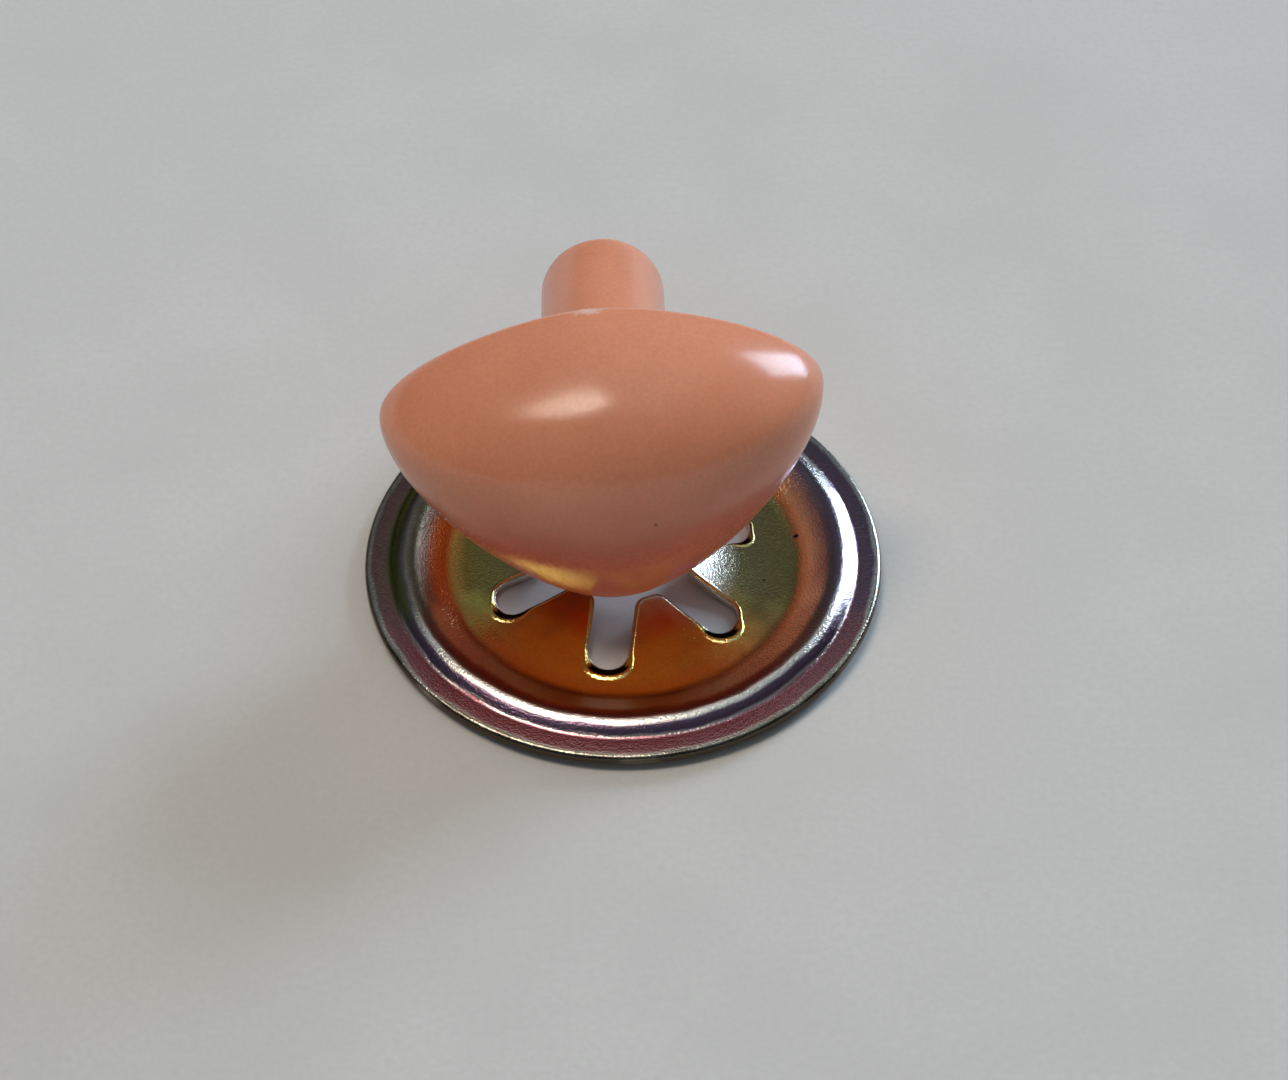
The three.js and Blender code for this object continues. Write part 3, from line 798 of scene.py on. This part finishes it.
def salmon_plastic(s, place):
    """Injection-moulded salmon plastic, coloured all through."""
    # The satin mould leaves a fine even grain, so highlights are soft with a grainy edge, and light
    # scatters a little way under the skin, which warms the edges of the shadows.
    material, tree, shader = new_material("satin_moulded_salmon_plastic")
    coordinates = add(tree, "ShaderNodeTexCoord")
    local = add(
        tree, "ShaderNodeMapping",
        {
            "Vector": coordinates.outputs["Object"],
            "Location": place.to_translation(),
            "Rotation": place.to_euler("XYZ"),
            "Scale": (MM, MM, MM),
        },
        vector_type="TEXTURE",
    ).outputs["Vector"]
    cloud = add(tree, "ShaderNodeTexNoise", {"Vector": local, "Scale": 1 / COLOUR_CLOUD, "Detail": 3.0})
    grain = add(tree, "ShaderNodeTexNoise", {"Vector": local, "Scale": 1 / MOULD_GRAIN, "Detail": 2.0})
    base = tuple(s.plastic)
    deeper = [channel * depth for channel, depth in zip(base, CLOUD_DEPTH)]
    cover = add(
        tree, "ShaderNodeMapRange", {"Value": cloud.outputs["Fac"], **CLOUD_SPAN}
    ).outputs["Result"]
    colour = add(tree, "ShaderNodeMix", {0: cover, 6: base, 7: deeper}, data_type="RGBA").outputs[2]
    # Towards the tip the colour is deepened by painted shade and warmed by painted light reflected from
    # the washer, and the skin has rubbed duller.
    axes = add(tree, "ShaderNodeSeparateXYZ", {"Vector": local})
    down_dome = add(
        tree, "ShaderNodeMapRange",
        {"Value": axes.outputs["Z"], "From Min": TIP_REACH[0], "From Max": TIP_REACH[1]},
    ).outputs["Result"]
    # Painted shade on the lower dome and painted warm reflected light at the tip.
    tip_shade_and_bounce = set_ramp(add(tree, "ShaderNodeValToRGB", {"Fac": down_dome}), TIP_SHADE_AND_BOUNCE_TINTS)
    colour = add(
        tree, "ShaderNodeMix", {0: 1.0, 6: colour, 7: tip_shade_and_bounce}, data_type="RGBA", blend_type="MULTIPLY"
    ).outputs[2]
    fleck = add(
        tree, "ShaderNodeMapRange", {"Value": grain.outputs["Fac"], **GRAIN_FLECK}
    ).outputs["Result"]
    colour = add(
        tree, "ShaderNodeMix", {0: fleck, 6: colour, 7: linear(FLECK)}, data_type="RGBA"
    ).outputs[2]

    # Torn plastic at the gate whitens.
    away = add(tree, "ShaderNodeVectorMath", {0: local, 1: GATE}, operation="SUBTRACT")
    scaled = add(tree, "ShaderNodeVectorMath", {0: away.outputs[0], 1: GATE_SIZE}, operation="DIVIDE")
    reach = add(tree, "ShaderNodeVectorMath", {0: scaled.outputs[0]}, operation="LENGTH").outputs["Value"]
    scratch = add(
        tree, "ShaderNodeTexNoise", {"Vector": local, "Scale": 1 / GATE_SCRATCH, "Detail": 3.0}
    ).outputs["Fac"]
    torn = add(tree, "ShaderNodeMath", {0: scratch, 1: TORN_SPREAD, 2: reach}, operation="MULTIPLY_ADD")
    white = add(tree, "ShaderNodeMapRange", {"Value": torn.outputs[0], **TORN_EDGE}).outputs["Result"]
    colour = add(
        tree, "ShaderNodeMix", {0: white, 6: colour, 7: linear(TORN_PLASTIC)}, data_type="RGBA"
    ).outputs[2]

    # One speck of burnt plastic in the dome, and a faint, broken dark line round the post near its end.
    speck = add(tree, "ShaderNodeVectorMath", {0: local, 1: MOULD_SPECK}, operation="DISTANCE")
    spot = add(
        tree, "ShaderNodeMapRange", {"Value": speck.outputs["Value"], **SPECK_EDGE}
    ).outputs["Result"]
    lean = add(
        tree, "ShaderNodeMath", {0: axes.outputs["X"], 1: POST_LINE_SLANT, 2: axes.outputs["Y"]},
        operation="MULTIPLY_ADD",
    )
    off_line = add(tree, "ShaderNodeMath", {0: lean.outputs[0], 1: POST_LINE_PLACE}, operation="SUBTRACT")
    distance = add(tree, "ShaderNodeMath", {0: off_line.outputs[0]}, operation="ABSOLUTE")
    broken = add(tree, "ShaderNodeMath", {0: cloud.outputs["Fac"], 1: POST_LINE_WOBBLE}, operation="MULTIPLY")
    width = add(tree, "ShaderNodeMath", {0: distance.outputs[0], 1: broken.outputs[0]}, operation="ADD")
    post_line = add(tree, "ShaderNodeMapRange", {"Value": width.outputs[0], **POST_LINE_EDGE}).outputs["Result"]
    gaps = add(tree, "ShaderNodeMapRange", {"Value": cloud.outputs["Fac"], **POST_LINE_GAPS}).outputs["Result"]
    faint = add(tree, "ShaderNodeMath", {0: post_line, 1: gaps}, operation="MULTIPLY")
    marks = add(tree, "ShaderNodeMath", {0: spot, 1: faint.outputs[0]}, operation="MAXIMUM")
    colour = add(
        tree, "ShaderNodeMix", {0: marks.outputs[0], 6: colour, 7: linear(DARK_MARK)}, data_type="RGBA"
    ).outputs[2]
    tree.links.new(colour, shader.inputs["Base Color"])

    gloss = add(
        tree, "ShaderNodeMapRange", {"Value": grain.outputs["Fac"], **NOISE_SPAN, **SATIN_GLOSS}
    ).outputs["Result"]
    rubbed = add(
        tree, "ShaderNodeMath", {0: down_dome, 1: TIP_DULLNESS, 2: gloss}, operation="MULTIPLY_ADD"
    )
    tree.links.new(rubbed.outputs[0], shader.inputs["Roughness"])
    shader.inputs["IOR"].default_value = PLASTIC_IOR
    shader.inputs["Subsurface Weight"].default_value = SCATTER_SHARE
    shader.inputs["Subsurface Radius"].default_value = SCATTER_COLOURS
    shader.inputs["Subsurface Scale"].default_value = SCATTER_DEPTH * MM
    skin = add(tree, "ShaderNodeBump", {"Height": grain.outputs["Fac"], **SATIN_SKIN})
    tree.links.new(skin.outputs[0], shader.inputs["Normal"])
    return material


class CRAFTNOSE_OT_nose(bpy.types.Operator):
    """Makes the nose with its post, lying as it rests on the washer"""

    bl_idname = "craftnose.nose"
    bl_label = "Nose"

    def execute(self, context):
        s = context.scene.craftnose_nose
        bm = grow_rings(nose_stations(s), s.spokes, closed=False)
        turn = Matrix.Identity(4)
        for angle, axis in ((s.yaw, "Z"), (s.tilt, "X"), (s.roll, "Y")):
            turn = turn @ Matrix.Rotation(angle, 4, axis)
        bodies = [turn @ vert.co * MM for vert in bm.verts]
        low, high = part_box("nose")
        middle = [(min(p[k] for p in bodies) + max(p[k] for p in bodies)) / 2 for k in range(3)]
        offset = (low + high) / 2 - Vector(middle)
        offset.z = high.z - max(p.z for p in bodies)
        place = Matrix.Translation(offset) @ turn
        nose = finish_piece(
            bm, "moulded_nose", place @ Matrix.Scale(MM, 4), salmon_plastic(s, place), NOSE_CREASE
        )
        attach(nose, "nose")
        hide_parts("nose")
        return {"FINISHED"}


# ---- stage ----


class StageSettings(bpy.types.PropertyGroup):
    """The lights with their colours, and the camera."""

    window: bpy.props.FloatProperty(
        name="Window", description="Power of the cool window", default=5.8, min=0.0, unit="POWER"
    )
    window_colour: bpy.props.FloatVectorProperty(
        name="Window colour", description="Cool daylight", subtype="COLOR", size=3,
        min=0.0, max=1.0, default=linear("#cfe6ff")[:3],
    )
    lamp: bpy.props.FloatProperty(
        name="Lamp", description="Power of the warm lamp", default=3.1, min=0.0, unit="POWER"
    )
    lamp_colour: bpy.props.FloatVectorProperty(
        name="Lamp colour", description="Warm indoor light", subtype="COLOR", size=3,
        min=0.0, max=1.0, default=linear("#ffeeda")[:3],
    )
    ceiling: bpy.props.FloatProperty(
        name="Ceiling", description="Power of the pale ceiling", default=1.1, min=0.0, unit="POWER"
    )
    ceiling_colour: bpy.props.FloatVectorProperty(
        name="Ceiling colour", description="Light off the ceiling", subtype="COLOR", size=3,
        min=0.0, max=1.0, default=linear("#e2f4fa")[:3],
    )
    room: bpy.props.FloatProperty(
        name="Room", description="Strength of the dim room", default=1.0, min=0.0
    )
    distance: bpy.props.FloatProperty(
        name="Distance", description="Camera to the washer", default=0.1524, unit="LENGTH"
    )
    elevation: bpy.props.FloatProperty(
        name="Elevation", description="Camera's angle over the paper",
        default=radians(48.19), unit="ROTATION",
    )
    lens: bpy.props.FloatProperty(name="Lens", description="Focal length in millimetres", default=86.4)


# The stage's lengths are metres.
AIM = Vector((1.035, 0.672, 0.601)) * MM  # from the washer's middle to the point that the camera faces
WASHER_MIDDLE = 0.7 * MM  # above the paper
WINDOW_SIDE = Vector((0.66, 0.68, 0.37))
WINDOW_SIZE = (0.29, 0.5)
LAMP_SIDE = Vector((-0.26, -0.02, 0.95))
LAMP_SIZE = (0.24, 0.52)
LIGHT_DISTANCE = 0.9
CEILING = Vector((0.0, 0.2, 1.2))
CEILING_SIZE = (1.0, 1.0)
PAPER_REACH = 0.5  # from its middle to its edge
PAPER_FIBRE = 0.35 * MM
PAPER_CLOUD = 9 * MM  # the fibres lie thicker and thinner over about this width
PAPER_TINTS = ((0.1, "#d3d2cf"), (0.4, "#dad9d6"))
PAPER_TOOTH = {"Strength": 0.3, "Distance": 3e-5}
NEAR_CLIP = 0.01
# The room's walls from the horizon, dark with furniture, up to the pale top, by sine of the elevation.
ROOM_WALLS = ((0.0, "#1a1b1d"), (0.2, "#25272a"), (0.45, "#62686c"), (0.75, "#6c757a"), (1.0, "#7c868c"))


def white_paper():
    """Uncoated white paper, pressed from short fibres."""
    # Its faint felted grain keeps the surface from looking like a smooth board.
    material, tree, shader = new_material("uncoated_white_paper")
    here = add(tree, "ShaderNodeTexCoord").outputs["Object"]
    fibres = add(tree, "ShaderNodeTexNoise", {"Vector": here, "Scale": 1 / PAPER_FIBRE, "Detail": 3.0})
    cloud = add(tree, "ShaderNodeTexNoise", {"Vector": here, "Scale": 1 / PAPER_CLOUD, "Detail": 2.0})
    mixed = add(
        tree, "ShaderNodeMath", {0: fibres.outputs["Fac"], 1: cloud.outputs["Fac"]}, operation="MULTIPLY"
    )
    ramp = add(tree, "ShaderNodeValToRGB", {"Fac": mixed.outputs[0]})
    tree.links.new(set_ramp(ramp, PAPER_TINTS), shader.inputs["Base Color"])
    shader.inputs["Roughness"].default_value = 0.9
    shader.inputs["Specular IOR Level"].default_value = 0.2
    tooth = add(tree, "ShaderNodeBump", {"Height": fibres.outputs["Fac"], **PAPER_TOOTH})
    tree.links.new(tooth.outputs[0], shader.inputs["Normal"])
    return material


def area_light(name, power, colour, size, place, target, shape="RECTANGLE"):
    """A soft light at a place, facing a target."""
    lamp = bpy.data.lights.new(name, "AREA")
    lamp.shape = shape
    lamp.size, lamp.size_y = size
    lamp.energy = power
    lamp.color = colour
    light = bpy.data.objects.new(name, lamp)
    light.location = place
    light.rotation_euler = (target - place).to_track_quat("-Z", "Y").to_euler()
    bpy.context.scene.collection.objects.link(light)


class CRAFTNOSE_OT_stage(bpy.types.Operator):
    """Lays the paper, hangs the lights and sets the camera"""

    bl_idname = "craftnose.stage"
    bl_label = "Stage"

    def execute(self, context):
        s = context.scene.craftnose_stage
        low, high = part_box("lock_washer")
        middle = Vector(((low.x + high.x) / 2, (low.y + high.y) / 2, low.z + WASHER_MIDDLE))

        bm = bmesh.new()
        bmesh.ops.create_grid(bm, x_segments=1, y_segments=1, size=PAPER_REACH)
        paper = finish_piece(bm, "paper", Matrix.Translation((0, 0, low.z)), white_paper(), CREASE)

        window = middle + WINDOW_SIDE.normalized() * LIGHT_DISTANCE
        area_light("window", s.window, s.window_colour, WINDOW_SIZE, window, middle)
        lamp = middle + LAMP_SIDE.normalized() * LIGHT_DISTANCE
        area_light("lamp", s.lamp, s.lamp_colour, LAMP_SIZE, lamp, middle, shape="ELLIPSE")
        ceiling = middle + CEILING
        area_light("ceiling", s.ceiling, s.ceiling_colour, CEILING_SIZE, ceiling, middle)

        world = bpy.data.worlds.new("room")
        world.use_nodes = True
        tree = world.node_tree
        direction = add(tree, "ShaderNodeTexCoord").outputs["Generated"]
        height = add(tree, "ShaderNodeSeparateXYZ", {"Vector": direction}).outputs["Z"]
        walls = set_ramp(add(tree, "ShaderNodeValToRGB", {"Fac": height}), ROOM_WALLS)
        sky = tree.nodes["Background"]
        tree.links.new(walls, sky.inputs["Color"])
        sky.inputs["Strength"].default_value = s.room
        context.scene.world = world

        camera = bpy.data.objects.new("camera", bpy.data.cameras.new("camera"))
        away = Vector((0, -cos(s.elevation), sin(s.elevation))) * s.distance
        camera.location = middle + away
        facing = middle + AIM - camera.location
        camera.rotation_euler = facing.to_track_quat("-Z", "Y").to_euler()
        camera.data.lens = s.lens
        camera.data.clip_start = NEAR_CLIP
        context.scene.collection.objects.link(camera)
        context.scene.camera = camera
        context.scene.view_settings.view_transform = "Standard"
        return {"FINISHED"}


# ---- panel and run ----


class CRAFTNOSE_PT_panel(bpy.types.Panel):
    """Lists the steps that build the nose, the washer and their stage"""

    bl_label = "Craft nose"
    bl_idname = "CRAFTNOSE_PT_panel"
    bl_space_type = "VIEW_3D"
    bl_region_type = "UI"
    bl_category = "Craft Nose"

    def draw(self, context):
        for operator in OPERATORS:
            self.layout.operator(operator.bl_idname)


SETTINGS = {
    "craftnose_washer": WasherSettings,
    "craftnose_nose": NoseSettings,
    "craftnose_stage": StageSettings,
}
OPERATORS = (CRAFTNOSE_OT_lock_washer, CRAFTNOSE_OT_nose, CRAFTNOSE_OT_stage)


def register():
    for group in (*SETTINGS.values(), *OPERATORS, CRAFTNOSE_PT_panel):
        bpy.utils.register_class(group)
    for name, group in SETTINGS.items():
        setattr(bpy.types.Scene, name, bpy.props.PointerProperty(type=group))


def unregister():
    for name in SETTINGS:
        delattr(bpy.types.Scene, name)
    for group in (CRAFTNOSE_PT_panel, *reversed(OPERATORS), *SETTINGS.values()):
        bpy.utils.unregister_class(group)


def main():
    """Builds the two pieces and their stage."""
    register()
    bpy.ops.craftnose.lock_washer()
    bpy.ops.craftnose.nose()
    bpy.ops.craftnose.stage()


if __name__ == "__main__":
    main()
